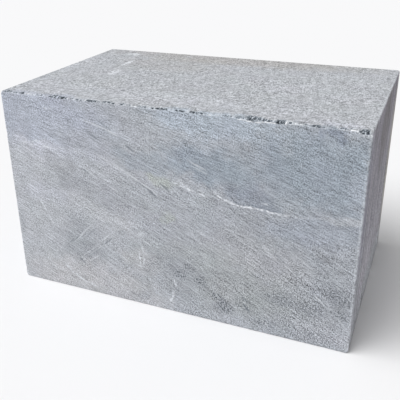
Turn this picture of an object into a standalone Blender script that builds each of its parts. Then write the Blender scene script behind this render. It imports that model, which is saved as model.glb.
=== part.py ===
"""A raw soapstone carving block: one piece of stone, sawn square on all six sides.

Metres, +Z up. The origin is the middle of the underside, +X runs along the block's length and the
front is at -Y. The six faces are flat saw cuts. The twelve arrises, which is what masons call the
sharp edges, are lightly crushed and have spalled: small flakes have broken away along them, most of
all along the top of the front, where the saw came out of the stone.

Each flake is cut by its own knobbly ball. The ball stands off the arris and dips into it, so that it
leaves a shallow bowl reaching a given way over each of the two faces that meet there.
"""

import math
import random

import bmesh
import bpy
from mathutils import Matrix, Vector, noise

MM = 0.001

# The sawn block
LENGTH = 254.0 * MM
DEPTH = 157.5 * MM
HEIGHT = 151.6 * MM
CRUSHED_ARRIS = 0.4 * MM

# The ball that cuts a flake. A larger radius, in widths of the flake, leaves a flatter bowl. The other
# three are icosphere subdivisions, for large flakes, middling ones, and the small scattered ones.
BALL_RADIUS = 1.5
KNOBBLE_HEIGHT = 0.035
KNOBBLE_PITCH = 3.0
LARGE_FINENESS = 4
MIDDLING_FINENESS = 3
SMALL_FINENESS = 2

# Where the top of the front has spalled, left to right. Each row is one ragged run of flakes: where it
# starts and ends, from the block's left end, and how far it reaches over the top and down the front.
FRONT_TOP_SPALLS = (
    (1.5 * MM, 9.6 * MM, 3.3 * MM, 0.6 * MM),
    (11.0 * MM, 14.8 * MM, 2.5 * MM, 0.6 * MM),
    (16.8 * MM, 20.3 * MM, 3.1 * MM, 0.8 * MM),
    (30.5 * MM, 35.3 * MM, 2.5 * MM, 0.5 * MM),
    (36.4 * MM, 40.0 * MM, 2.9 * MM, 0.3 * MM),
    (41.0 * MM, 47.1 * MM, 3.7 * MM, 0.8 * MM),
    (47.3 * MM, 54.9 * MM, 4.0 * MM, 1.0 * MM),
    (57.4 * MM, 60.6 * MM, 3.3 * MM, 0.4 * MM),
    (61.8 * MM, 67.1 * MM, 1.9 * MM, 0.8 * MM),
    (71.0 * MM, 78.3 * MM, 2.8 * MM, 0.7 * MM),
    (79.0 * MM, 86.0 * MM, 2.3 * MM, 0.4 * MM),
    (86.4 * MM, 91.7 * MM, 3.2 * MM, 0.7 * MM),
    (96.0 * MM, 103.4 * MM, 2.9 * MM, 0.5 * MM),
    (109.6 * MM, 115.3 * MM, 2.1 * MM, 0.4 * MM),
    (117.9 * MM, 120.3 * MM, 1.7 * MM, 0.9 * MM),
    (121.2 * MM, 130.9 * MM, 3.0 * MM, 0.9 * MM),
    (134.8 * MM, 141.7 * MM, 2.6 * MM, 0.6 * MM),
    (144.7 * MM, 154.2 * MM, 2.9 * MM, 0.7 * MM),
    (166.9 * MM, 171.9 * MM, 2.6 * MM, 0.4 * MM),
    (174.4 * MM, 180.9 * MM, 2.8 * MM, 1.1 * MM),
    (180.7 * MM, 190.6 * MM, 5.9 * MM, 1.8 * MM),
    (190.3 * MM, 198.8 * MM, 3.8 * MM, 1.0 * MM),
    (198.6 * MM, 205.2 * MM, 4.1 * MM, 1.4 * MM),
    (205.8 * MM, 211.6 * MM, 3.6 * MM, 0.8 * MM),
    (220.3 * MM, 227.7 * MM, 3.0 * MM, 0.7 * MM),
    (235.2 * MM, 242.3 * MM, 2.8 * MM, 0.4 * MM),
    (247.0 * MM, 253.0 * MM, 4.1 * MM, 1.7 * MM),
)
# A run's flakes: about how far apart they are, how much longer each is than that, and its share of the
# run's reach. The flakes at the ends of a run are smaller than those in its middle.
FLAKE_PITCH = 2.9 * MM
FLAKE_OVERLAP = (1.05, 1.45)
FLAKE_SHARE = (0.6, 1.1)
TOP_SHARE = (0.9, 1.1)
END_SHARE = 0.75
LARGE_FLAKE = 3.0 * MM

# The other arrises broke less. Their flakes are scattered by a seeded draw, one to each stretch.
STRETCH = 17.0 * MM
PLACE_IN_STRETCH = (0.1, 0.9)
SCATTERED_LENGTH = (1.6 * MM, 6.0 * MM)
SCATTERED_REACH = (0.35 * MM, 1.2 * MM)

# The eight corners are knocked off, each by a little more or less. The radius is in knocks.
CORNER_KNOCK = (0.7 * MM, 1.5 * MM)
CORNER_RADIUS = 3.0

SEED = 6
NOISE_SPAN = 150.0

OUTWARD = {
    "left": Vector((-1, 0, 0)),
    "right": Vector((1, 0, 0)),
    "front": Vector((0, -1, 0)),
    "back": Vector((0, 1, 0)),
    "bottom": Vector((0, 0, -1)),
    "top": Vector((0, 0, 1)),
}
OPPOSITE_PAIRS = (("left", "right"), ("front", "back"), ("bottom", "top"))


class Arris:
    """The edge where two faces of the block meet. It runs towards +X, +Y or +Z."""

    def __init__(self, face_a, face_b):
        half = Vector((LENGTH, DEPTH, HEIGHT)) / 2
        self.name = f"{face_a}_{face_b}"
        self.out_a = OUTWARD[face_a]
        self.out_b = OUTWARD[face_b]
        self.along = Vector(abs(component) for component in self.out_a.cross(self.out_b))
        self.length = 2 * self.along.dot(half)
        middle = Vector((0, 0, half.z)) + (self.out_a + self.out_b) * half
        self.start = middle - self.along * self.length / 2

    def at(self, distance):
        return self.start + self.along * distance


def clear_scene():
    for obj in list(bpy.data.objects):
        bpy.data.objects.remove(obj)


def new_collection(name):
    collection = bpy.data.collections.new(name)
    bpy.context.scene.collection.children.link(collection)
    return collection


def stone_material(name, colour, roughness):
    material = bpy.data.materials.new(name)
    material.use_nodes = True
    shader = material.node_tree.nodes["Principled BSDF"]
    shader.inputs["Base Color"].default_value = (*colour, 1.0)
    shader.inputs["Roughness"].default_value = roughness
    shader.inputs["Metallic"].default_value = 0.0
    return material


def sawn_block(collection, sawn_stone):
    """The square block, with its arrises crushed to a narrow flat."""
    bpy.ops.mesh.primitive_cube_add(size=1.0)
    block = bpy.context.object
    block.name = block.data.name = "soapstone_block"
    stretch = Matrix.Diagonal((LENGTH, DEPTH, HEIGHT, 1.0))
    block.data.transform(Matrix.Translation((0.0, 0.0, HEIGHT / 2)) @ stretch)
    block.data.materials.append(sawn_stone)
    for startup_collection in list(block.users_collection):
        startup_collection.objects.unlink(block)
    collection.objects.link(block)

    crush = block.modifiers.new("crushed_arrises", "BEVEL")
    crush.width = CRUSHED_ARRIS
    crush.segments = 1
    crush.limit_method = "ANGLE"
    return block


def knobbly_ball(name, place, finish, fineness, draw):
    """A ball of about unit radius, moved into place by a matrix. It is hidden, because it only cuts."""
    shape = bmesh.new()
    bmesh.ops.create_icosphere(shape, subdivisions=fineness, radius=1.0)
    elsewhere = Vector((draw.uniform(0.0, NOISE_SPAN), 0.0, 0.0))
    for vert in shape.verts:
        vert.co *= 1.0 + KNOBBLE_HEIGHT * noise.noise(vert.co * KNOBBLE_PITCH + elsewhere)
    shape.transform(place)
    mesh = bpy.data.meshes.new(name)
    shape.to_mesh(mesh)
    shape.free()
    mesh.materials.append(finish)
    ball = bpy.data.objects.new(name, mesh)
    ball.hide_render = True
    ball.display_type = "WIRE"
    return ball


def flake_cutter(name, arris, middle, length, reach_a, reach_b, finish, fineness, draw):
    """The ball that breaks one flake off an arris, reaching over its first and its second face."""
    width = math.hypot(reach_a, reach_b)
    radius = BALL_RADIUS * width
    outward = (arris.out_a * reach_a + arris.out_b * reach_b) / width
    across = outward.cross(arris.along)
    mid_width = -(arris.out_b * reach_a + arris.out_a * reach_b) / 2
    centre = mid_width + outward * math.sqrt(radius**2 - (width / 2) ** 2)

    clear_of_a = max(centre.dot(arris.out_a), 0.0)
    clear_of_b = max(centre.dot(arris.out_b), 0.0)
    share_in_stone = math.sqrt(1.0 - (clear_of_a**2 + clear_of_b**2) / radius**2)
    turn = Matrix((arris.along, across, outward)).transposed().to_4x4()
    stretch = Matrix.Diagonal((length / 2 / share_in_stone, radius, radius, 1.0))
    place = Matrix.Translation(arris.at(middle) + centre) @ turn @ stretch
    return knobbly_ball(name, place, finish, fineness, draw)


def front_top_cutters(finish, draw):
    """The flakes of each run. They overlap, are larger in the run's middle, and vary."""
    arris = Arris("front", "top")
    cutters = []
    for run, (start, end, over_top, down_front) in enumerate(FRONT_TOP_SPALLS):
        count = max(1, round((end - start) / FLAKE_PITCH))
        pitch = (end - start) / count
        for n in range(count):
            along_run = (n + 0.5) / count
            middle = start + along_run * (end - start)
            length = pitch * draw.uniform(*FLAKE_OVERLAP)
            swell = END_SHARE + (1.0 - END_SHARE) * math.sin(math.pi * along_run)
            share = draw.uniform(*FLAKE_SHARE) * swell
            down = down_front * share
            over = over_top * share * draw.uniform(*TOP_SHARE)
            name = f"flake_front_top_{run:02d}_{n}"
            fineness = LARGE_FINENESS if over > LARGE_FLAKE else MIDDLING_FINENESS
            cutters.append(flake_cutter(name, arris, middle, length, down, over, finish, fineness, draw))
    return cutters


def scattered_cutters(finish, draw):
    """One flake somewhere in each stretch of every other arris."""
    cutters = []
    for n, pair in enumerate(OPPOSITE_PAIRS):
        for other_pair in OPPOSITE_PAIRS[n + 1 :]:
            for face_a in pair:
                for face_b in other_pair:
                    if (face_a, face_b) != ("front", "top"):
                        cutters += flakes_along(Arris(face_a, face_b), finish, draw)
    return cutters


def flakes_along(arris, finish, draw):
    count = round(arris.length / STRETCH)
    cutters = []
    for n in range(count):
        middle = (n + draw.uniform(*PLACE_IN_STRETCH)) * arris.length / count
        length = draw.uniform(*SCATTERED_LENGTH)
        reach_a = draw.uniform(*SCATTERED_REACH)
        reach_b = draw.uniform(*SCATTERED_REACH)
        name = f"flake_{arris.name}_{n:02d}"
        cutter = flake_cutter(name, arris, middle, length, reach_a, reach_b, finish, SMALL_FINENESS, draw)
        cutters.append(cutter)
    return cutters


def corner_cutters(finish, draw):
    """A ball for each corner, standing off along the block's diagonal."""
    cutters = []
    for end in OPPOSITE_PAIRS[0]:
        for side in OPPOSITE_PAIRS[1]:
            for level in OPPOSITE_PAIRS[2]:
                diagonal = OUTWARD[end] + OUTWARD[side] + OUTWARD[level]
                corner = diagonal * Vector((LENGTH, DEPTH, HEIGHT)) / 2 + Vector((0, 0, HEIGHT / 2))
                knock = draw.uniform(*CORNER_KNOCK)
                radius = CORNER_RADIUS * knock
                centre = corner + diagonal.normalized() * (radius - knock)
                place = Matrix.Translation(centre) @ Matrix.Scale(radius, 4)
                name = f"flake_corner_{end}_{side}_{level}"
                cutters.append(knobbly_ball(name, place, finish, MIDDLING_FINENESS, draw))
    return cutters


def break_off(block, cutters, collection):
    """Cuts every ball from the block. The broken faces take the balls' own finish."""
    for cutter in cutters:
        collection.objects.link(cutter)
    spalling = block.modifiers.new("spalls", "BOOLEAN")
    spalling.operation = "DIFFERENCE"
    spalling.operand_type = "COLLECTION"
    spalling.collection = collection
    spalling.solver = "EXACT"
    spalling.material_mode = "TRANSFER"


def main():
    clear_scene()
    sawn_stone = stone_material("sawn_soapstone", (0.37, 0.39, 0.42), 0.75)
    fresh_break = stone_material("freshly_broken_soapstone", (0.09, 0.11, 0.13), 0.6)
    draw = random.Random(SEED)

    block = sawn_block(new_collection("raw_soapstone"), sawn_stone)
    cutters = front_top_cutters(fresh_break, draw)
    cutters += scattered_cutters(fresh_break, draw)
    cutters += corner_cutters(fresh_break, draw)
    break_off(block, cutters, new_collection("spall_cutters"))


main()
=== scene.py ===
"""Dresses one raw block of soapstone: its sawn faces, its flaked arrises and the stone itself."""

import math

import bmesh
import bpy
import numpy as np
from mathutils import Matrix, Vector, noise
from mathutils.bvhtree import BVHTree


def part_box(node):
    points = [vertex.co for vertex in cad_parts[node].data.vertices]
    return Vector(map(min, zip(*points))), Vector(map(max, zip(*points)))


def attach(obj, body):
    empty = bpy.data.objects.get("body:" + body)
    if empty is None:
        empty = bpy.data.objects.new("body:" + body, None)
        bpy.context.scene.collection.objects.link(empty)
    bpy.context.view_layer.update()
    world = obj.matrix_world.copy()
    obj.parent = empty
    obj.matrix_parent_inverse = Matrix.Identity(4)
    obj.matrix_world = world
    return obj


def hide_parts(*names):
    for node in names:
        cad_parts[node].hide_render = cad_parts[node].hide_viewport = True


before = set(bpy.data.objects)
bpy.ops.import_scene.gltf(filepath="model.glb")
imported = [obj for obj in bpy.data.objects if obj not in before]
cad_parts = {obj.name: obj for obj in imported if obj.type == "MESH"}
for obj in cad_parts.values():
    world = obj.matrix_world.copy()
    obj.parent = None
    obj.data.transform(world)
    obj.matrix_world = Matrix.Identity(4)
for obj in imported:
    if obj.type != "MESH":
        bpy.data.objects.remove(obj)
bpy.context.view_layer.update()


# --- Camera ---------------------------------------------------------------------------------------
# It stands 0.4 m in front of the block's middle and a little to the right, and looks down on the block. It
# leans by less than a degree, and its lens is shifted a little to the side and down.

swing, tilt, lean = math.radians(23.14), math.radians(23.74), math.radians(-0.81)
ahead = Vector((-math.sin(swing) * math.cos(tilt), math.cos(swing) * math.cos(tilt), -math.sin(tilt)))
level_right = Vector((math.cos(swing), math.sin(swing), 0))
level_up = level_right.cross(ahead)
right = math.cos(lean) * level_right + math.sin(lean) * level_up
up = math.cos(lean) * level_up - math.sin(lean) * level_right

lens = bpy.data.cameras.new("camera")
lens.sensor_width = 36
lens.lens = 53.27
lens.shift_x = 0.019
lens.shift_y = -0.0485
lens.clip_end = 100
camera = bpy.data.objects.new("camera", lens)
camera.matrix_world = Matrix((right, up, -ahead)).transposed().to_4x4()
camera.matrix_world.translation = (0.15596, -0.39980, 0.25959)
bpy.context.scene.collection.objects.link(camera)
bpy.context.scene.camera = camera


# --- The block ------------------------------------------------------------------------------------
# One block of raw soapstone, sawn on all six sides. Soapstone is soft enough to mark with a fingernail,
# so handling has crushed its arrises and broken runs of small flakes off them.

MM = 0.001
low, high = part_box("soapstone_block")
length, depth, height = high - low

stone = bmesh.new()
bmesh.ops.create_cube(stone, size=1, matrix=Matrix.LocRotScale((low + high) / 2, None, high - low))

# The faces are laid out in cells of about 4 mm.
cell = 4 * MM
for axis, size in enumerate((length, depth, height)):
    edges = [e for e in stone.edges if abs((e.verts[0].co - e.verts[1].co)[axis]) > MM]
    bmesh.ops.subdivide_edges(stone, edges=edges, cuts=round(size / cell) - 1, use_grid_fill=True)


def to_arris(place):
    """How far a place on a face is from the nearest arris."""
    return sorted([*(place - low), *(high - place)])[1]


def to_front_top(place):
    """How far a place on the front or the top is from the arris that they share."""
    return max(place.y - low.y, high.z - place.z)


def halve_cells(chosen):
    """Cuts every edge of the chosen cells in two."""
    edges = {edge for face in chosen for edge in face.edges}
    bmesh.ops.subdivide_edges(stone, edges=list(edges), cuts=1, use_grid_fill=True)


# The cells halve three times on the way to an arris, and once more where the top of the front is flaked.
worn_reach, flaked_reach = 2.2 * MM, 7.5 * MM
small_cell = 1.5 * MM * MM
for reach in (10 * MM, 5 * MM, worn_reach):
    halve_cells([f for f in stone.faces if to_arris(f.calc_center_median()) < reach])
halve_cells([f for f in stone.faces if worn_reach <= to_front_top(f.calc_center_median()) < flaked_reach
             and to_arris(f.calc_center_median()) >= worn_reach and f.calc_area() < small_cell])
halve_cells([f for f in stone.faces if to_front_top(f.calc_center_median()) < worn_reach])

# Each side keeps which way it faces, and a map in mm with X along the blade's strokes and Y across them. On
# the front and back the strokes fall to the right, 12 degrees at the top and 30 at the base: a stroke falls
# by fall_rate times its depth below a level fan_rise above the block, and fan_width keeps the map in true mm
# halfway along. On the top and bottom they run along the block, and on the ends they run up and down. The
# sides' maps lie apart, so that no two sides share a pattern.
fan_rise, fall_rate, fan_width = 86, 0.00245, 1.35
apart = 500
faces_out = stone.faces.layers.float_vector.new("faces_out")
saw_lay = stone.loops.layers.uv.new("saw_lay")
for face in stone.faces:
    out = face.normal
    face[faces_out] = out
    for corner in face.loops:
        x, y, z = (corner.vert.co - low) / MM
        if abs(out.y) > 0.5:
            run = x if out.y < 0 else length / MM - x
            across = fan_width * (height / MM - z + fan_rise) * math.exp(-fall_rate * run)
            corner[saw_lay].uv = (run + apart * out.y, across)
        elif abs(out.z) > 0.5:
            corner[saw_lay].uv = (x + 3 * apart * out.z, y)
        else:
            corner[saw_lay].uv = (z + 5 * apart * out.x, y)

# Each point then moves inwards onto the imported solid, and so takes its flakes and its knocked corners. Where
# stone has broken away, from 0.1 mm below a side and wholly by 0.4 mm, it is rough by about 0.2 mm, and an
# arris is rubbed down by about as much, in lumps of 1.1 mm and grains of 0.45 mm.
solid = bmesh.new()
solid.from_mesh(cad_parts["soapstone_block"].data)
bmesh.ops.remove_doubles(solid, verts=solid.verts, dist=0.001 * MM)
surface = BVHTree.FromBMesh(solid)
core_inset = Vector((15, 15, 15)) * MM
core_low, core_high = low + core_inset, high - core_inset
broken_wear, arris_wear, arris_width = 0.22, 0.16, 1.2

arris = stone.verts.layers.float.new("arris")
for point in stone.verts:
    point[arris] = to_arris(point.co) / MM
    heart = Vector([min(max(at, least), most) for at, least, most in zip(point.co, core_low, core_high)])
    inwards = (heart - point.co).normalized()
    found = surface.ray_cast(point.co - inwards * MM, inwards)[0]
    if found is None:
        continue
    below = min(*(found - low), *(high - found)) / MM
    crumble = 0.5 + 0.5 * noise.noise(found / (1.1 * MM)) + 0.25 * noise.noise(found / (0.45 * MM))
    broken = min(1, max(0, below - 0.1) / 0.3)
    rubbed = max(0, 1 - point[arris] / arris_width)
    worn = broken * broken_wear + rubbed * arris_wear
    point.co = found + inwards * worn * max(0, crumble) * MM
solid.free()

bmesh.ops.triangulate(stone, faces=stone.faces[:])
for face in stone.faces:
    face.smooth = True
mesh = bpy.data.meshes.new("soapstone")
stone.to_mesh(mesh)
stone.free()
mesh.set_sharp_from_angle(angle=math.radians(40))

# Along the top of the front, some breaks are fresh and dark: partly the stone's dark inside, partly painted
# shade in
# their hollows. Each row is one: where it starts and ends in mm from the left, where it starts and ends across
# the arris, from mm over the top as minus to mm down the front, and how dark it is.
fresh_and_shaded_breaks = (
    (1.6, 3.9, -2.4, 0, 0.8), (4.2, 8, -3.9, -0.8, 1), (2, 4, 1.5, 2.8, 0.5), (10.1, 13.6, -2.9, -0.3, 0.5),
    (16.2, 18.8, -2.9, 0.1, 0.95), (17.2, 18.4, -5.4, -2.5, 0.5), (26.1, 27.2, -1.4, -0.2, 0.4),
    (29.4, 31.4, -2.4, -0.6, 0.6), (32.6, 34.1, -2.5, -0.2, 0.95), (35.9, 37.6, -4.9, -2, 0.4),
    (40.1, 42.1, -2.9, -0.2, 0.9), (41.9, 45.2, -5.1, 0.1, 0.9), (46.8, 53.6, -3.4, 0.2, 1),
    (57, 58.7, -3.4, -1.5, 0.6), (61.8, 64, -1.9, -0.1, 0.6), (64.7, 66.7, -1.6, 0.3, 0.95),
    (66.5, 67.5, -3.3, -1.5, 0.6), (69.7, 77, -3.1, 0.1, 0.9), (78.2, 80.7, -2.3, -0.5, 0.45),
    (81.8, 85, -3.2, -0.3, 0.5), (84.7, 87.4, -3.9, -0.7, 0.8), (88.8, 91, -2.1, 0, 0.9),
    (94.6, 98.5, -3.5, 0.2, 0.6), (99.9, 102.6, -2.1, -0.4, 0.7), (108.3, 113.9, -1.8, -0.2, 0.75),
    (118, 119.3, -1.5, 0.3, 1), (120.8, 124, -2.1, 0.1, 1), (122.9, 129.1, -3, -0.2, 1),
    (134.2, 135.9, -2.5, -0.1, 1), (136.1, 140.5, -2.5, -0.1, 0.95), (143.9, 147.4, -2.7, -0.1, 1),
    (147.9, 150.5, -2.4, -0.2, 0.8), (150.7, 152.7, -2.9, -0.2, 1), (159.3, 160.5, -2.2, -0.5, 0.4),
    (165.7, 167.4, -2.4, -0.3, 0.75), (167.5, 169.4, -2.9, -0.4, 0.85), (170.3, 171.5, -2.4, -0.2, 0.5),
    (173.5, 176.7, -1.9, 0, 0.5), (175.3, 177.4, -3.9, -1, 0.6), (177.9, 179.3, -3.4, -0.5, 0.6),
    (179.5, 181.9, -5.9, 0.3, 0.85), (180, 183.8, -6.5, -0.3, 0.85), (183.6, 187.6, -1.9, 1.1, 0.95),
    (184, 186, -6.4, -2.5, 0.95), (186, 189, -5.9, -1.5, 0.75), (189.5, 193.1, -3.7, -0.3, 0.9),
    (193.4, 199.4, -2.5, -0.1, 0.8), (198.9, 204.1, -4.5, 0.5, 1), (205.2, 208.8, -3.7, -1.1, 0.6),
    (207.5, 211, -7.9, -5, 0.35), (215, 219.8, -2.3, -0.5, 0.55), (219.6, 224.9, -3, 0, 0.95),
    (225.4, 227.4, -1.9, -0.3, 0.4), (231.6, 235.6, -1.9, 0.5, 0.35), (234.8, 240.3, -3.1, -1.1, 0.6),
    (241, 243, -4.9, -2.3, 0.35), (246.1, 248.8, -1.4, 0.7, 0.8), (247.6, 251.9, -5.2, 1.3, 0.9),
    (244.1, 246.1, -7.9, -4.5, 0.4), (247, 248.5, -8.4, -6, 0.4),
)
# Between and below them the arris is bruised white with talc. The rows are the same, with how white it is.
bruises = (
    (8.6, 10.6, -1.5, 0.1, 0.6), (11, 15, -0.3, 0.9, 0.5), (19.8, 24.7, -2.1, -0.1, 0.7),
    (24.4, 29.4, -2.5, 0.3, 0.35), (35.7, 39.7, -1.5, 0.3, 0.4), (42.4, 44.4, -5.5, -4.1, 0.5),
    (54.3, 56.3, -2.5, 0.1, 0.5), (59.3, 60.7, -0.7, 0.2, 0.9), (58.9, 60.3, -4.3, -2.7, 0.6),
    (62.1, 63.1, -4.5, -3, 0.7), (66.2, 67.2, 0.1, 0.7, 0.6), (68.5, 69.7, -2.3, -0.1, 0.95),
    (68.8, 73.2, -4.7, -3.3, 0.55), (74.6, 76, -5.1, -2.9, 0.85), (80.5, 82.3, -0.5, 0, 0.6),
    (85.4, 88, -0.3, 0.4, 0.6), (91.1, 95.2, -1.1, 0.1, 0.4), (97.3, 98.7, -3.8, -2.3, 0.85),
    (102.9, 109.3, -0.7, 0.4, 0.7), (113.9, 116.9, -3.5, -0.5, 0.4), (118, 120.2, 0.4, 1.1, 0.65),
    (121.5, 125, 0.2, 0.8, 0.6), (127.1, 132.6, -4.5, -2.5, 0.4), (135.7, 137.1, -4.9, -3.5, 0.7),
    (140.6, 143.5, -2.9, -0.2, 0.35), (150.5, 154, -0.1, 0.7, 0.7), (156.2, 159, -0.1, 0.7, 0.8),
    (156.6, 164.6, -5, -0.1, 0.3), (161.5, 164.8, -0.1, 0.6, 0.5), (171.3, 173.3, -2.5, -0.1, 0.5),
    (175.2, 181.2, 0.3, 1.1, 1), (180.8, 184.4, 0.5, 1.7, 1), (184.2, 190.4, 0.9, 2, 0.75),
    (187.1, 188.5, -1.1, 0, 0.95), (190, 200.5, 0.2, 1.1, 0.95), (190, 192.5, 1, 1.7, 0.5),
    (203.8, 205.6, 0.1, 0.9, 1), (203.7, 205.7, -4.9, 0.1, 1), (206.7, 210.1, -1.1, -0.1, 0.7),
    (206.5, 208.5, -4.5, -3.1, 0.8), (209.3, 211.5, -3.5, 0.3, 0.6), (211.5, 215.7, -1.9, 0.1, 0.5),
    (214.6, 216, -1.3, -0.3, 0.8), (225.6, 227.6, -2.1, -1, 0.5), (233.2, 235.2, -3.9, -2.5, 0.6),
    (241.4, 246.8, -1.7, 0.1, 0.9), (244.5, 247.5, 0, 0.6, 0.7), (246, 254, 0.8, 3.1, 0.45),
    (252.4, 254, 0.9, 2.1, 0.95),
)
places = np.empty(len(mesh.vertices) * 3)
mesh.vertices.foreach_get("co", places)
places = places.reshape(-1, 3)
from_left, from_front, up_from_base = ((places - np.array(low)) / MM).T
below_top = height / MM - up_from_base
across_arris = below_top - from_front


def along_arris(rows):
    """How much of any row lies at each point of the mesh, from 0 to 1, with soft edges."""
    soft_ends, soft_sides = 0.9, 0.7
    shares = np.zeros(len(from_left))
    for start, end, top, bottom, most in rows:
        beside = np.clip(np.minimum(from_left - start, end - from_left) / soft_ends + 0.5, 0, 1)
        level = np.clip(np.minimum(across_arris - top, bottom - across_arris) / soft_sides + 0.5, 0, 1)
        shares = np.maximum(shares, most * beside * level)
    return shares


# Only the skin of the front and of the top takes them.
skin = 1.5
on_arris = np.minimum(from_front, below_top) < skin
fresh_and_shaded, bruised = along_arris(fresh_and_shaded_breaks) * on_arris, along_arris(bruises) * on_arris
for name, values in (("fresh_and_shaded", fresh_and_shaded), ("bruised", bruised)):
    mesh.attributes.new(name, "FLOAT", "POINT").data.foreach_set("value", values.astype(np.float32))

# The fresh breaks are crumbled up to 0.6 mm deeper.
crumbled = 0.6
into_stone = Vector((0, 1, -1)).normalized()
for index in np.nonzero(fresh_and_shaded > 0.05)[0]:
    crumb_depth = 0.5 + noise.noise(mesh.vertices[index].co / (0.9 * MM))
    crumb_depth = min(1, max(0, crumb_depth))
    mesh.vertices[index].co += into_stone * crumbled * MM * fresh_and_shaded[index] * crumb_depth

soapstone = bpy.data.objects.new("soapstone", mesh)
bpy.context.scene.collection.objects.link(soapstone)
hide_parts("soapstone_block")
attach(soapstone, "root")


def colour(hex_value):
    """An sRGB hex colour as the linear RGBA that Blender's nodes take."""
    parts = [int(hex_value[i:i + 2], 16) / 255 for i in (1, 3, 5)]
    return (*[p / 12.92 if p <= 0.04045 else ((p + 0.055) / 1.055) ** 2.4 for p in parts], 1)


# Sawn soapstone, also called steatite: a soft, greasy, matt stone of talc and chlorite. Its sawn sides
# show pale talc dust in the blade's fine strokes, slow clouds of blue and green grey, and white veins.
sawn_stone = bpy.data.materials.new("sawn_soapstone")
sawn_stone.use_nodes = True
nodes, links = sawn_stone.node_tree.nodes, sawn_stone.node_tree.links


def add(kind, inputs, out=0, **settings):
    """Adds a node with its settings and inputs, each a value or another node's output. Returns an output."""
    made = nodes.new(kind)
    for name, value in settings.items():
        setattr(made, name, value)
    for socket, value in inputs.items():
        if isinstance(value, bpy.types.NodeSocket):
            links.new(value, made.inputs[socket])
        else:
            made.inputs[socket].default_value = value
    return made.outputs[out]


# Places are in mm from the block's lower left front corner, and which side a place is on is 0 or 1.
in_metres = add("ShaderNodeTexCoord", {}, out="Object")
from_corner = add("ShaderNodeVectorMath", {0: in_metres, 1: low}, operation="SUBTRACT")
in_mm = add("ShaderNodeVectorMath", {0: from_corner, "Scale": 1 / MM}, operation="SCALE")
place_x = add("ShaderNodeSeparateXYZ", {0: in_mm}, out="X")
place_z = add("ShaderNodeSeparateXYZ", {0: in_mm}, out="Z")
lay = add("ShaderNodeUVMap", {}, uv_map="saw_lay")
facing = add("ShaderNodeAttribute", {}, out="Vector", attribute_name="faces_out")
on_right_end = add("ShaderNodeSeparateXYZ", {0: facing}, out="X")
on_right_end = add("ShaderNodeMath", {0: on_right_end, 1: 0.0}, operation="MAXIMUM")
facing = add("ShaderNodeVectorMath", {0: facing}, operation="ABSOLUTE")
on_an_end = add("ShaderNodeSeparateXYZ", {0: facing}, out="X")
on_front_or_back = add("ShaderNodeSeparateXYZ", {0: facing}, out="Y")
on_top_or_bottom = add("ShaderNodeSeparateXYZ", {0: facing}, out="Z")

# The stone under the clouds: blue grey, a little paler on the top, and mauve grey on the right end. The right
# end's darker mauve grey is partly painted shade: it darkens towards the top, and at the base painted light
# makes up for the floor's shadow. A Mix node's sockets 6 and 7 are the two colours it mixes, and output 2 is
# the mix.
end_height = add("ShaderNodeMapRange", {"Value": place_z, "From Min": 15.0, "From Max": 130.0})
tone = add("ShaderNodeMix", {"Factor": on_top_or_bottom, 6: colour("#aeb2b9"), 7: colour("#b3b6bb")},
           out=2, data_type="RGBA")
end_tone_and_shade = add("ShaderNodeMix", {"Factor": end_height, 6: colour("#a6a4ad"), 7: colour("#8b8892")},
               out=2, data_type="RGBA")
tone = add("ShaderNodeMix", {"Factor": on_right_end, 6: tone, 7: end_tone_and_shade}, out=2, data_type="RGBA")

# The stone's hues: talc makes it pale, chlorite blue and green, and iron mauve and buff.
stone_hues = {
    "talc": "#bcbfc5", "lilac": "#c3c6d0", "pale blue": "#b0b9c4", "blue": "#98a2ad",
    "deep blue": "#8d95a3", "steel": "#a2a8b3", "blue grey": "#abb2bd", "violet grey": "#b0b6c5",
    "grey": "#a8abb2", "ash": "#9ea2a9", "green grey": "#b3b9b5", "moss": "#a4a8a7",
    "cream": "#c1c0c2", "buff": "#a9a5a1", "mauve": "#b5b3bb", "dark mauve": "#8f8e9a", "umber": "#78747a",
}

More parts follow.
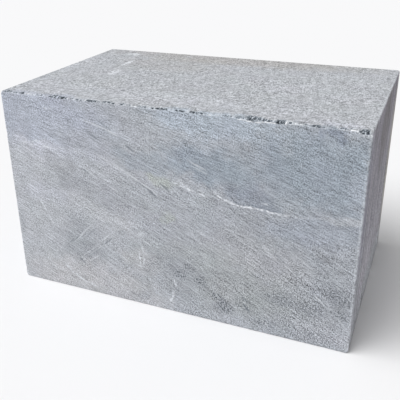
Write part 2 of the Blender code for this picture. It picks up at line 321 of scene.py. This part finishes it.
# Slow clouds, whose borders are ragged by up to 10 mm. Each row is one cloud: its middle in mm from the
# lower left front corner, half its length, depth and height, how far it leans down to the right in degrees,
# its hue and its strength. Three clouds of the right end would spill over its arrises, so their strength is
# 1 on that end and 0 elsewhere.
ragged = add("ShaderNodeTexNoise", {"Vector": in_mm, "Scale": 1 / 12, "Detail": 4.0}, out="Color")
ragged = add("ShaderNodeVectorMath", {0: ragged, 1: (0.5, 0.5, 0.5)}, operation="SUBTRACT")
ragged = add("ShaderNodeVectorMath", {0: ragged, 1: (20.0, 20.0, 20.0), 2: in_mm}, operation="MULTIPLY_ADD")
for middle, reach, lean_down, hue, strength in (
    ((0, 0, 75), (125, 30, 120), 0, "talc", 0.7),
    ((254, 0, 60), (125, 30, 110), 0, "ash", 0.65),
    ((30, 0, 137), (80, 12, 36), 6, "violet grey", 0.7),
    ((70, 0, 121), (44, 8, 15), 8, "grey", 0.5),
    ((28, 0, 78), (22, 8, 11), 0, "lilac", 0.5),
    ((6, 0, 98), (24, 8, 26), 0, "lilac", 0.15),
    ((156, 0, 148), (58, 8, 19), 3, "pale blue", 0.95),
    ((228, 0, 124), (64, 8, 38), 8, "blue", 0.85),
    ((252, 0, 116), (12, 8, 18), 0, "blue grey", 0.7),
    ((158, 0, 117), (48, 8, 18), 10, "blue", 0.9),
    ((188, 0, 100), (24, 8, 9), 12, "deep blue", 0.55),
    ((228, 0, 84), (46, 8, 15), -6, "steel", 0.8),
    ((244, 0, 95.5), (22, 8, 4), -8, "talc", 0.5),
    ((190, 0, 58), (50, 8, 24), 10, "cream", 0.25),
    ((85, 0, 65), (34, 8, 9), 18, "talc", 0.95),
    ((105, 0, 36), (24, 8, 13), 10, "cream", 0.35),
    ((26, 0, 114.5), (44, 8, 6), 2, "lilac", 0.65),
    ((48, 0, 98), (20, 8, 18), 20, "grey", 0.65),
    ((78, 0, 110), (24, 8, 5), 22, "lilac", 0.35),
    ((110, 0, 114), (34, 8, 10), 8, "blue", 0.45),
    ((57, 0, 42), (28, 8, 24), 30, "ash", 0.62),
    ((74, 0, 86), (46, 8, 15), 12, "grey", 0.85),
    ((62, 0, 8), (90, 8, 28), 0, "cream", 0.5),
    ((168, 0, 34), (84, 8, 32), 8, "moss", 0.4),
    ((122, 0, 102.6), (15, 8, 6), 10, "green grey", 0.7),
    ((128, 0, 75), (10, 6, 5), 5, "green grey", 0.6),
    ((136, 0, 34), (36, 6, 20), 10, "ash", 0.6),
    ((132, 0, 16), (16, 6, 9), 10, "ash", 0.45),
    ((166, 0, 15), (10, 6, 8), 30, "ash", 0.85),
    ((213, 0, 29), (24, 6, 6), 5, "ash", 0.5),
    ((247, 0, 40), (12, 6, 9), 30, "ash", 1),
    ((244, 0, 12), (40, 8, 14), 5, "talc", 0.35),
    ((227, 0, 149), (5, 6, 6), 0, "deep blue", 0.7),
    ((236, 0, 148.5), (9, 6, 5), 5, "deep blue", 0.75),
    ((228, 7, 151.6), (26, 7, 4), 0, "lilac", 0.45),
    ((127, 152, 151.6), (150, 30, 8), 0, "buff", 0.55),
    ((20, 25, 151.6), (34, 34, 8), 0, "lilac", 0.2),
    ((120, 24, 151.6), (130, 16, 8), 0, "talc", 0.7),
    ((10, 90, 151.6), (24, 60, 8), 0, "talc", 0.45),
    ((75, 118, 151.6), (60, 34, 8), 0, "buff", 0.25),
    ((192, 80, 151.6), (44, 24, 8), 0, "talc", 0.4),
    ((254, 78, 0), (16, 110, 40), 0, "talc", 0.8),
    # The umber cloud darkens the top of the right end: partly painted shade.
    ((254, 88, 130), (12, 44, 42), 0, "umber", on_right_end),
    ((254, 8, 100), (12, 16, 60), 0, "dark mauve", on_right_end),
    ((254, 65, 44), (14, 70, 20), 0, "mauve", 0.5),
    ((254, 160, 80), (12, 34, 90), 0, "buff", on_right_end),
    ((254, 130, 6), (12, 60, 26), 0, "talc", 0.5),
    ((70, 157, 100), (80, 12, 36), -15, "blue", 0.5),
    ((190, 157, 45), (70, 12, 30), 10, "cream", 0.5),
    ((230, 157, 120), (50, 12, 30), -10, "blue", 0.15),
    ((0, 60, 50), (14, 70, 36), 0, "blue", 0.4),
    ((0, 120, 110), (14, 50, 40), 0, "ash", 0.5),
):
    oval = add("ShaderNodeMapping", {"Vector": ragged, "Location": middle, "Scale": reach,
                                     "Rotation": (0, math.radians(lean_down), 0)}, vector_type="TEXTURE")
    inside = add("ShaderNodeTexGradient", {"Vector": oval}, out="Fac", gradient_type="SPHERICAL")
    inside = add("ShaderNodeMapRange", {"Value": inside, "From Max": 0.6, "To Max": strength},
                 interpolation_type="SMOOTHSTEP")
    tone = add("ShaderNodeMix", {"Factor": inside, 6: tone, 7: colour(stone_hues[hue])},
               out=2, data_type="RGBA")

# Faint patches of mauve and green, where the talc holds a little more iron or more chlorite.
patches = add("ShaderNodeTexNoise", {"Vector": in_mm, "Scale": 1 / 20, "Detail": 2.0}, out="Color")
patches = add("ShaderNodeMix", {"Factor": 0.017, 6: (0.5, 0.5, 0.5, 1), 7: patches}, out=2, data_type="RGBA")
tone = add("ShaderNodeVectorMath", {0: tone, 1: patches}, operation="MULTIPLY")
tone = add("ShaderNodeVectorMath", {0: tone, "Scale": 2.0}, operation="SCALE")

# Where the patterns below show, and how much. The blade left the lower right of the front rougher. Straight
# lines cross its strokes on the right, and hairlines cross them on the left, both in patches.
downhill = add("ShaderNodeMath", {0: place_x, 1: 0.5}, operation="MULTIPLY")
downhill = add("ShaderNodeMath", {0: downhill, 1: place_z}, operation="SUBTRACT")
rougher = add("ShaderNodeMapRange", {"Value": downhill, "From Min": 25.0, "From Max": 70.0, "To Max": 0.3})
in_patches = add("ShaderNodeTexNoise", {"Vector": in_mm, "Scale": 1 / 26, "Detail": 2.0})
lines_here = add("ShaderNodeMapRange", {"Value": in_patches, "From Min": 0.42, "From Max": 0.58,
                                        "To Min": 0.2})
lines_right = add("ShaderNodeMapRange", {"Value": place_x, "From Min": 60.0, "From Max": 160.0,
                                         "To Min": 0.15})
lines_here = add("ShaderNodeMath", {0: lines_here, 1: lines_right}, operation="MULTIPLY")
lines_here = add("ShaderNodeMath", {0: lines_here, 1: on_front_or_back}, operation="MULTIPLY")
hairs_here = add("ShaderNodeMapRange", {"Value": in_patches, "From Min": 0.6, "From Max": 0.45,
                                        "To Min": 0.2})
hairs_left = add("ShaderNodeMapRange", {"Value": place_x, "From Min": 170.0, "From Max": 120.0,
                                        "To Min": 0.3})
hairs_here = add("ShaderNodeMath", {0: hairs_here, 1: hairs_left}, operation="MULTIPLY")
hairs_here = add("ShaderNodeMath", {0: hairs_here, 1: on_front_or_back}, operation="MULTIPLY")

# The strokes are fainter on the top and bottom. The grain is fainter on the ends, and the streaks show there
# and most on the right end. The mottle is fainter on the front and back.
stroke_share = add("ShaderNodeMath", {0: on_top_or_bottom, 1: -0.7, 2: 1.0}, operation="MULTIPLY_ADD")
grain_share = add("ShaderNodeMath", {0: rougher, 1: 0.63}, operation="ADD")
patchy_grain = add("ShaderNodeMapRange", {"Value": in_patches, "From Min": 0.4, "From Max": 0.6,
                                          "To Min": 0.8, "To Max": 1.18})
grain_share = add("ShaderNodeMath", {0: grain_share, 1: patchy_grain}, operation="MULTIPLY")
grain_share = add("ShaderNodeMath", {0: on_top_or_bottom, 1: -0.05, 2: grain_share},
                  operation="MULTIPLY_ADD")
grain_share = add("ShaderNodeMath", {0: on_an_end, 1: -0.25, 2: grain_share}, operation="MULTIPLY_ADD")
end_share = add("ShaderNodeMath", {0: on_an_end, 1: 0.25}, operation="MULTIPLY")
end_share = add("ShaderNodeMath", {0: on_right_end, 1: 0.75, 2: end_share}, operation="MULTIPLY_ADD")
flat_share = add("ShaderNodeMath", {0: on_front_or_back, 1: -0.6, 2: 1.0}, operation="MULTIPLY_ADD")

# Each row is one pattern: what it is laid on, its three sizes in mm, how far it leans down to the right in
# degrees, its detail, the part of the noise that shows, how much that darkens and lightens the stone, and
# where. The blade's strokes are 0.8 mm wide and about twice that apart. The crystals are 0.5 to 2 mm across,
# and are drawn no finer than 0.8 mm, and 1.7 mm from front to back, so that they show from a low view too.
# The patterns add up to how light the stone's tone is.
light = 0.93
patterns = {}
for name, laid_on, size, lean_down, detail, least, most, darkest, palest, share in (
    ("strokes", lay, (9, 0.8, 1), 0, 1.0, 0.3, 0.7, -0.24, 0.24, stroke_share),
    ("wide_strokes", lay, (28, 2.4, 1), 0, 2.0, 0.3, 0.7, -0.04, 0.04, stroke_share),
    ("beds", lay, (70, 9, 1), 0, 3.0, 0.3, 0.7, -0.05, 0.05, on_front_or_back),
    ("lines", in_mm, (16, 16, 0.8), 40, 1.0, 0.3, 0.7, -0.2, 0.2, lines_here),
    ("hairs", in_mm, (45, 45, 0.8), 26, 0.0, 0.6, 0.75, 0.0, 0.3, hairs_here),
    ("top_strokes", lay, (6, 1.4, 1), 0, 1.0, 0.3, 0.7, -0.26, 0.26, on_top_or_bottom),
    ("streaks", lay, (36, 4.5, 1), 0, 3.0, 0.3, 0.7, -0.43, 0.43, end_share),
    ("wide_streaks", lay, (80, 10, 1), 0, 3.0, 0.3, 0.7, -0.22, 0.22, end_share),
    ("fine_grain", in_mm, (0.8, 1.7, 0.8), 0, 0.0, 0.3, 0.7, -0.48, 0.48, grain_share),
    ("grain", in_mm, (2.4, 2.4, 1.6), 0, 1.0, 0.3, 0.7, -0.14, 0.14, grain_share),
    ("specks", in_mm, (1.8, 1.8, 1.2), 0, 1.0, 0.26, 0.36, -0.4, 0.0, grain_share),
    ("mottle", in_mm, (20, 9, 9), 0, 3.0, 0.3, 0.7, -0.05, 0.05, flat_share),
):
    pattern_lay = add("ShaderNodeMapping", {"Vector": laid_on, "Scale": size,
                                            "Rotation": (0, math.radians(lean_down), 0)},
                      vector_type="TEXTURE")
    patterns[name] = add("ShaderNodeTexNoise", {"Vector": pattern_lay, "Scale": 1.0, "Detail": detail,
                                                "Roughness": 0.6})
    change = add("ShaderNodeMapRange", {"Value": patterns[name], "From Min": least, "From Max": most,
                                        "To Min": darkest, "To Max": palest})
    light = add("ShaderNodeMath", {0: change, 1: share, 2: light}, operation="MULTIPLY_ADD")
tone = add("ShaderNodeVectorMath", {0: tone, "Scale": light}, operation="SCALE")

# A white vein of talc crosses the front and comes out at the same height on the back, with a thin dark line
# just above its strong part. Each row of the first table is mm from the left and mm below the top. Each row
# of the second is mm from the left and how strong the vein is there, from 0 to 1.
vein_depth = (
    (0, 50), (158, 50), (163, 53.4), (168, 55.6), (174, 57.2), (180, 57.9), (194, 58.2), (200, 59),
    (208, 59.3), (225, 58), (254, 54.5),
)
vein_strength = (
    (0, 0), (158, 0), (162, 0.75), (166, 0.9), (172, 0.8), (176, 1), (197, 1), (204, 0.85), (208, 0.4),
    (235, 0.15), (254, 0.1),
)
vein_rise = [(x, 1 - down / (height / MM)) for x, down in vein_depth]
along_block = add("ShaderNodeMath", {0: place_x, 1: length / MM}, operation="DIVIDE")
vein = []
for rows in (vein_rise, vein_strength):
    bent = add("ShaderNodeFloatCurve", {"Value": along_block}).node
    line = bent.mapping.curves[0]
    for x, value in rows[1:-1]:
        line.points.new(x / (length / MM), value)
    line.points[0].location = (0, rows[0][1])
    line.points[-1].location = (1, rows[-1][1])
    bent.mapping.update()
    vein.append(bent.outputs[0])
vein_up, vein_here = vein

# The vein wanders by up to 1.2 mm. It has a core of talc flecks, 1.9 mm wide, in a faint halo 5 mm wide. The
# dark line, broken by small pits, lies dark_line mm above it and fades out as far to each side. The same
# flecks and pits break the marks further down.
dark_line = 1.3
wander = add("ShaderNodeTexNoise", {"Vector": in_mm, "Scale": 1 / 4, "Detail": 3.0})
wander = add("ShaderNodeMapRange", {"Value": wander, "To Min": -1.2, "To Max": 1.2})
flecks = add("ShaderNodeTexNoise", {"Vector": in_mm, "Scale": 1 / 1.9, "Detail": 2.0})
flecks = add("ShaderNodeMapRange", {"Value": flecks, "From Min": 0.38, "From Max": 0.55})
pits = add("ShaderNodeTexNoise", {"Vector": in_mm, "Scale": 1 / 1.2, "Detail": 1.0})
pits = add("ShaderNodeMapRange", {"Value": pits, "From Min": 0.52, "From Max": 0.59})
unbroken = add("ShaderNodeMapRange", {"Value": flecks, "To Min": 0.6})
spotty = add("ShaderNodeMapRange", {"Value": pits, "To Min": 0.35})
vein_up = add("ShaderNodeMath", {0: vein_up, 1: height / MM, 2: wander}, operation="MULTIPLY_ADD")
above_vein = add("ShaderNodeMath", {0: place_z, 1: vein_up}, operation="SUBTRACT")
off_vein = add("ShaderNodeMath", {0: above_vein}, operation="ABSOLUTE")
core = add("ShaderNodeMapRange", {"Value": off_vein, "From Min": 0.35, "From Max": 0.95,
                                  "To Min": 1.0, "To Max": 0.0})
core = add("ShaderNodeMath", {0: core, 1: flecks}, operation="MULTIPLY")
halo = add("ShaderNodeMapRange", {"Value": off_vein, "From Max": 2.5, "To Min": 0.2, "To Max": 0.0})
core = add("ShaderNodeMath", {0: core, 1: halo}, operation="MAXIMUM")
core = add("ShaderNodeMath", {0: core, 1: vein_here}, operation="MULTIPLY")
core = add("ShaderNodeMath", {0: core, 1: on_front_or_back}, operation="MULTIPLY")
tone = add("ShaderNodeMix", {"Factor": core, 6: tone, 7: colour("#e4e7ed")}, out=2, data_type="RGBA")
dark_above = add("ShaderNodeMath", {0: above_vein, 1: -dark_line}, operation="ADD")
dark_above = add("ShaderNodeMath", {0: dark_above}, operation="ABSOLUTE")
dark_above = add("ShaderNodeMapRange", {"Value": dark_above, "From Max": dark_line,
                                        "To Min": 1.0, "To Max": 0.0})
strong_part = add("ShaderNodeMapRange", {"Value": vein_here, "From Min": 0.7, "From Max": 1.0})
dark_above = add("ShaderNodeMath", {0: dark_above, 1: strong_part}, operation="MULTIPLY")
dark_above = add("ShaderNodeMath", {0: dark_above, 1: spotty}, operation="MULTIPLY")
dark_above = add("ShaderNodeMath", {0: dark_above, 1: on_front_or_back}, operation="MULTIPLY")
tone = add("ShaderNodeMix", {"Factor": dark_above, 6: tone, 7: colour("#646e7a")}, out=2, data_type="RGBA")

# Scratches, knocks and short strands of vein, pale with talc, or dark where the stone shows through. Each
# row is one mark: its middle in mm, half its size along, into and up the front before it is turned, how far
# it is turned down to the right in degrees, and its strength. Strands and specks wobble by up to 1.25 mm.
wobble = add("ShaderNodeTexNoise", {"Vector": in_mm, "Scale": 1 / 4, "Detail": 2.0}, out="Color")
wobble = add("ShaderNodeVectorMath", {0: wobble, 1: (0.5, 0.5, 0.5)}, operation="SUBTRACT")
wobble = add("ShaderNodeVectorMath", {0: wobble, 1: (2.5, 2.5, 2.5), 2: in_mm}, operation="MULTIPLY_ADD")
vein_strands = (
    ((17, 0, 116.2), (6, 3, 0.8), -10, 0.85), ((25.5, 0, 117.6), (6, 3, 0.8), -8, 0.8),
    ((19, 0, 114.2), (7, 3, 0.8), 3, 0.8), ((36, 0, 114.2), (7, 3, 0.9), 3, 0.9),
    ((48, 0, 115), (8, 3, 0.8), -4, 0.4), ((61, 0, 113.8), (6, 3, 0.9), 8, 0.45),
    ((137, 0, 101.4), (8, 3, 1.2), 14, 0.8), ((143.5, 0, 99.4), (6, 3, 1.2), 20, 0.95),
    ((147, 0, 98.5), (7, 3, 1), 20, 0.75), ((150.5, 0, 97.4), (7, 3, 1.1), 16, 0.8),
    ((140, 0, 102.4), (7, 3, 0.9), 22, 0.55), ((153, 0, 99), (6, 3, 0.8), 25, 0.45),
    ((38, 0, 143), (4, 3, 1.0), 5, 0.64),
    ((25, 0, 67.5), (7, 3, 0.9), 60, 0.85), ((30, 0, 57), (6, 3, 0.9), 62, 0.8),
    ((30, 0, 41.8), (5, 3, 0.8), 25, 0.8), ((43, 0, 15.5), (6, 3, 1.2), 42, 0.85),
    ((51, 0, 10.5), (8, 3, 1.2), 32, 0.9), ((62, 0, 6.5), (8, 3, 1.0), 15, 0.6),
    ((106.5, 0, 48), (5, 3, 1.0), 75, 0.7), ((104.2, 0, 38.5), (6, 3, 1.1), 88, 0.92),
    ((107.2, 0, 37), (7, 3, 0.8), 92, 0.63), ((104, 0, 32.5), (3, 3, 0.9), 5, 0.7),
    ((131.5, 0, 24.5), (4, 3, 1.0), 80, 0.84), ((129.8, 0, 15), (5, 3, 1.3), 98, 0.95),
    ((128, 0, 9.5), (3, 3, 1.2), 125, 1.0), ((195, 0, 98), (4, 3, 1.0), -8, 0.53),
    ((41.8, 109, 151.6), (2.5, 14, 3), 0, 1.0), ((47.6, 76.5, 151.6), (4.5, 11, 3), 0, 0.85),
    ((31, 142.5, 151.6), (8, 6, 3), 0, 0.9), ((254, 0, 75), (2.2, 2.2, 130), 0, 0.4),
    ((254, 78, 151.6), (1.4, 130, 1.4), 0, 0.6),
)
pale_scratches = (
    ((76, 0, 135.4), (15, 3, 0.8), 15, 0.5), ((88, 0, 131.4), (7, 3, 0.8), 22, 0.6),
    ((80, 0, 112), (10, 3, 0.9), 26, 0.4), ((92, 0, 106.8), (8, 3, 0.9), 27, 0.6),
    ((102, 0, 101.7), (8, 3, 0.9), 28, 0.6), ((112, 0, 96.3), (7, 3, 0.8), 29, 0.6),
    ((118, 0, 92.4), (4, 3, 0.8), 45, 0.6), ((68, 0, 99.8), (9, 3, 0.8), 30, 0.45),
    ((87, 0, 90), (5, 3, 0.8), 27, 0.5), ((113, 0, 130.6), (6, 3, 0.8), -12, 0.4),
    ((149, 0, 117), (9, 3, 0.8), 22, 0.55), ((151, 0, 114), (8, 3, 0.7), 22, 0.4),
    ((34, 0, 31), (6, 3, 0.7), -42, 0.5), ((37, 0, 30), (5, 3, 0.7), 42, 0.4),
    ((53, 0, 45), (10, 3, 0.7), -43, 0.7), ((48.5, 0, 41.5), (6, 3, 0.7), -43, 0.6),
    ((60, 0, 52.5), (10, 3, 0.7), -43, 0.45), ((62.5, 0, 36), (14, 3, 0.6), -41, 0.5),
    ((70, 0, 39), (14, 3, 0.6), -41, 0.45), ((77, 0, 50), (7, 3, 0.7), -43, 0.6),
    ((80.5, 0, 49), (6, 3, 0.6), -43, 0.5), ((75, 0, 45), (5, 3, 0.6), 43, 0.5),
    ((70, 0, 47), (4, 3, 0.6), 38, 0.45), ((56, 0, 28.5), (4, 3, 0.9), 30, 0.7),
    ((66, 0, 30.5), (8, 3, 0.7), -38, 0.5), ((105, 0, 58), (4, 3, 0.7), -43, 0.5),
    ((110, 0, 53), (5, 3, 0.7), 28, 0.4), ((213, 0, 54), (9, 3, 0.7), 36, 0.4),
    ((222, 0, 61), (9, 3, 0.7), 36, 0.4), ((233, 0, 36), (7, 3, 0.7), 42, 0.6),
    ((238, 0, 33.5), (6, 3, 0.7), 42, 0.5), ((246, 0, 46), (6, 3, 0.7), 42, 0.6),
    ((249, 0, 43), (6, 3, 0.7), 42, 0.6), ((248, 0, 22), (6, 3, 0.7), 48, 0.4),
    ((198, 0, 8.5), (4, 3, 0.8), 48, 0.6), ((199, 0, 63), (8, 3, 0.7), 36, 0.4),
)
dark_scratches = (
    ((116, 0, 92.2), (6, 3, 1.0), 36, 0.9), ((109, 0, 96.6), (7, 3, 0.7), 28, 0.5),
    ((82, 0, 136.4), (8, 3, 0.8), 28, 0.6), ((74, 0, 126.8), (7, 3, 0.8), 27, 0.6),
    ((71, 0, 129), (6, 3, 0.7), 27, 0.4), ((101, 0, 122), (5, 3, 1.0), 35, 0.7),
    ((65, 0, 100.6), (5, 3, 1.0), 32, 0.6), ((125.5, 0, 98), (6, 3, 0.9), 34, 0.8),
    ((50.5, 0, 43.2), (8, 3, 0.7), -43, 0.8), ((47, 0, 41.2), (4, 3, 0.7), -43, 0.6),
    ((65, 0, 52), (8, 3, 0.7), -43, 0.4), ((67, 0, 36), (13, 3, 0.6), -41, 0.55),
    ((79, 0, 47.5), (7, 3, 0.7), -43, 0.8), ((73, 0, 47), (4, 3, 0.6), 43, 0.5),
    ((55, 0, 26), (4, 3, 0.9), 35, 0.9), ((157, 0, 103), (3, 3, 0.8), 40, 0.6),
    ((183, 0, 24), (4, 3, 0.8), 45, 0.8), ((184.5, 0, 17), (5, 3, 0.9), 48, 0.9),
    ((247.5, 0, 44.5), (6, 3, 0.7), 42, 0.6), ((236, 0, 34.8), (6, 3, 0.7), 42, 0.5),
    ((206, 0, 61), (8, 3, 0.7), 38, 0.4), ((229, 0, 66), (8, 3, 0.7), 36, 0.4),
)
dark_specks = (
    ((135, 0, 33), (7, 4, 6), 0, 0.9), ((142, 0, 39), (6, 4, 5), 0, 0.7),
    ((151, 0, 31), (6, 4, 5), 0, 1.0), ((163, 0, 21), (7, 4, 4), 20, 1.0),
    ((169, 0, 14), (8, 4, 7), 30, 0.9), ((183, 0, 20), (8, 4, 8), 0, 0.5),
    ((205, 0, 30), (12, 4, 6), 0, 0.65), ((228, 0, 29), (11, 4, 8), 0, 0.6),
    ((245, 0, 40), (11, 4, 8), 30, 0.55), ((246, 0, 28), (8, 4, 5), 0, 0.7),
    ((197, 0, 9), (10, 4, 4), 0, 0.7), ((233, 0, 8), (12, 4, 4), 0, 0.5),
    ((58, 0, 28), (12, 4, 9), 0, 0.35), ((61, 0, 39), (11, 4, 8), 0, 0.3),
    ((52, 0, 61), (12, 4, 8), 0, 0.3), ((100, 0, 6), (14, 4, 5), 0, 0.4),
    ((3, 0, 48), (4, 4, 14), 0, 0.4), ((36, 0, 32), (14, 4, 8), 0, 0.25),
)
for hue, laid_on, broken_by, marks in (
    ("#dce0e6", wobble, flecks, vein_strands), ("#d8dce1", in_mm, unbroken, pale_scratches),
    ("#6d747b", in_mm, unbroken, dark_scratches), ("#484f56", wobble, pits, dark_specks),
):
    marked = 0.0
    for middle, reach, turn, strength in marks:
        oval = add("ShaderNodeMapping", {"Vector": laid_on, "Location": middle, "Scale": reach,
                                         "Rotation": (0, math.radians(turn), 0)}, vector_type="TEXTURE")
        inside = add("ShaderNodeTexGradient", {"Vector": oval}, out="Fac", gradient_type="SPHERICAL")
        inside = add("ShaderNodeMapRange", {"Value": inside, "From Max": 0.5, "To Max": strength})
        marked = add("ShaderNodeMath", {0: marked, 1: inside}, operation="MAXIMUM")
    marked = add("ShaderNodeMath", {0: marked, 1: broken_by}, operation="MULTIPLY")
    tone = add("ShaderNodeMix", {"Factor": marked, 6: tone, 7: colour(hue)}, out=2, data_type="RGBA")

# Talc turns the crushed arrises pale, in patches, within 1 mm of the edge.
from_arris = add("ShaderNodeAttribute", {}, out="Fac", attribute_name="arris")
arris_pale = add("ShaderNodeMapRange", {"Value": from_arris, "From Min": 0.2, "From Max": 1.0,
                                        "To Min": 0.3, "To Max": 0.0})
patchy = add("ShaderNodeTexNoise", {"Vector": in_mm, "Scale": 1 / 3, "Detail": 3.0})
patchy = add("ShaderNodeMapRange", {"Value": patchy, "From Min": 0.4, "From Max": 0.6})
arris_pale = add("ShaderNodeMath", {0: arris_pale, 1: patchy}, operation="MULTIPLY")
tone = add("ShaderNodeMix", {"Factor": arris_pale, 6: tone, 7: colour("#c9cfd6")}, out=2, data_type="RGBA")

# A bruise is a patch of crisp white flecks over a little dust, and they lie closer where it is stronger.
bruised_here = add("ShaderNodeAttribute", {}, out="Fac", attribute_name="bruised")
crush_lay = add("ShaderNodeMapping", {"Vector": in_mm, "Scale": (1.2, 1.6, 0.9)}, vector_type="TEXTURE")
crush = add("ShaderNodeTexNoise", {"Vector": crush_lay, "Scale": 1.0, "Detail": 2.0, "Roughness": 0.6})
bruise_share = add("ShaderNodeMath", {0: bruised_here, 1: 0.34, 2: 0.3}, operation="MULTIPLY_ADD")
bruise_share = add("ShaderNodeMath", {0: bruise_share, 1: crush}, operation="SUBTRACT")
bruise_share = add("ShaderNodeMapRange", {"Value": bruise_share, "From Min": -0.03, "From Max": 0.05})
bruise_edge = add("ShaderNodeMapRange", {"Value": bruised_here, "From Min": 0.1, "From Max": 0.3})
bruise_share = add("ShaderNodeMath", {0: bruise_share, 1: bruise_edge}, operation="MULTIPLY")
bruise_dust = add("ShaderNodeMath", {0: bruised_here, 1: 0.35}, operation="MULTIPLY")
bruise_share = add("ShaderNodeMath", {0: bruise_share, 1: bruise_dust}, operation="MAXIMUM")
crushed_stone = add("ShaderNodeMix", {"Factor": bruised_here, 6: colour("#c3c8cf"), 7: colour("#eceef1")},
                    out=2, data_type="RGBA")
tone = add("ShaderNodeMix", {"Factor": bruise_share, 6: tone, 7: crushed_stone}, out=2, data_type="RGBA")

# A fresh break shows the stone's dark inside in crumbs, slanted across the arris, with pale crumbs between.
# Its dark is partly painted shade in the hollows of the break.
fresh_and_shaded_here = add("ShaderNodeAttribute", {}, out="Fac", attribute_name="fresh_and_shaded")
crumb_lay = add("ShaderNodeMapping", {"Vector": in_mm, "Scale": (0.9, 2.6, 1.2),
                                      "Rotation": (0, 0, math.radians(-12))}, vector_type="TEXTURE")
crumb = add("ShaderNodeTexNoise", {"Vector": crumb_lay, "Scale": 1.0, "Detail": 2.0, "Roughness": 0.6})
fresh_shade_level = add("ShaderNodeMath", {0: fresh_and_shaded_here, 1: 0.3, 2: 0.3}, operation="MULTIPLY_ADD")
fresh_shade_level = add("ShaderNodeMath", {0: fresh_shade_level, 1: crumb}, operation="SUBTRACT")
darkness = add("ShaderNodeMapRange", {"Value": fresh_shade_level, "From Min": -0.08, "From Max": 0.16})
fresh_shade_share = add("ShaderNodeMath", {0: fresh_and_shaded_here, 1: 0.17, 2: 0.45}, operation="MULTIPLY_ADD")
fresh_shade_share = add("ShaderNodeMath", {0: fresh_shade_share, 1: crumb}, operation="SUBTRACT")
fresh_shade_share = add("ShaderNodeMapRange", {"Value": fresh_shade_share, "From Min": -0.03, "From Max": 0.03})
fresh_shade_edge = add("ShaderNodeMapRange", {"Value": fresh_and_shaded_here, "From Min": 0.1, "From Max": 0.3})
fresh_shade_share = add("ShaderNodeMath", {0: fresh_shade_share, 1: fresh_shade_edge}, operation="MULTIPLY")
pale_crumb = add("ShaderNodeMapRange", {"Value": crumb, "From Min": 0.58, "From Max": 0.65})
pale_crumb = add("ShaderNodeMath", {0: pale_crumb, 1: fresh_and_shaded_here}, operation="MULTIPLY")
dark_inside_and_shade = add("ShaderNodeMix", {"Factor": darkness, 6: colour("#8a939c"), 7: colour("#262e36")},
                   out=2, data_type="RGBA")
tone = add("ShaderNodeMix", {"Factor": pale_crumb, 6: tone, 7: colour("#cfd5dc")}, out=2, data_type="RGBA")
tone = add("ShaderNodeMix", {"Factor": fresh_shade_share, 6: tone, 7: dark_inside_and_shade}, out=2, data_type="RGBA")

# The strokes and the crystals roughen the sawn sides by a small part of a millimetre. The stone is waxy, but
# sawn it is matt.
relief = add("ShaderNodeMath", {0: patterns["strokes"], 1: stroke_share}, operation="MULTIPLY")
relief = add("ShaderNodeMath", {0: relief, 1: patterns["grain"]}, operation="ADD")
bump = add("ShaderNodeBump", {"Height": relief, "Strength": 0.6, "Distance": 0.3 * MM})
finish = nodes["Principled BSDF"]
finish.inputs["Roughness"].default_value = 0.78
finish.inputs["IOR"].default_value = 1.5
links.new(tone, finish.inputs["Base Color"])
links.new(bump, finish.inputs["Normal"])
mesh.materials.append(sawn_stone)


# --- Floor and light ------------------------------------------------------------------------------
# The block stands on a plain floor of matt white paper. A large soft lamp stands high on the left of the
# front, and pale walls all round fill the shadows.

floor_mesh = bpy.data.meshes.new("floor")
ground = bmesh.new()
bmesh.ops.create_grid(ground, x_segments=1, y_segments=1, size=20)
ground.to_mesh(floor_mesh)
ground.free()
floor = bpy.data.objects.new("floor", floor_mesh)
bpy.context.scene.collection.objects.link(floor)
paper = bpy.data.materials.new("matt_white_paper")
paper.use_nodes = True
paper_finish = paper.node_tree.nodes["Principled BSDF"]
paper_finish.inputs["Base Color"].default_value = colour("#ebebec")
paper_finish.inputs["Roughness"].default_value = 0.9
paper_finish.inputs["Specular IOR Level"].default_value = 0.0
floor_mesh.materials.append(paper)

lamp_data = bpy.data.lights.new("softbox", "SUN")
lamp_data.angle = math.radians(50)
lamp_data.energy = 2.7
lamp = bpy.data.objects.new("softbox", lamp_data)
lamp.rotation_euler = Vector((-0.5, -0.42, 1)).to_track_quat("Z", "Y").to_euler()
bpy.context.scene.collection.objects.link(lamp)

walls = bpy.data.worlds.new("pale_walls")
walls.use_nodes = True
bpy.context.scene.world = walls
wall_light = walls.node_tree.nodes["Background"]
wall_light.inputs["Color"].default_value = (1, 1, 1, 1)
wall_light.inputs["Strength"].default_value = 0.42
bpy.context.scene.view_settings.view_transform = "Standard"
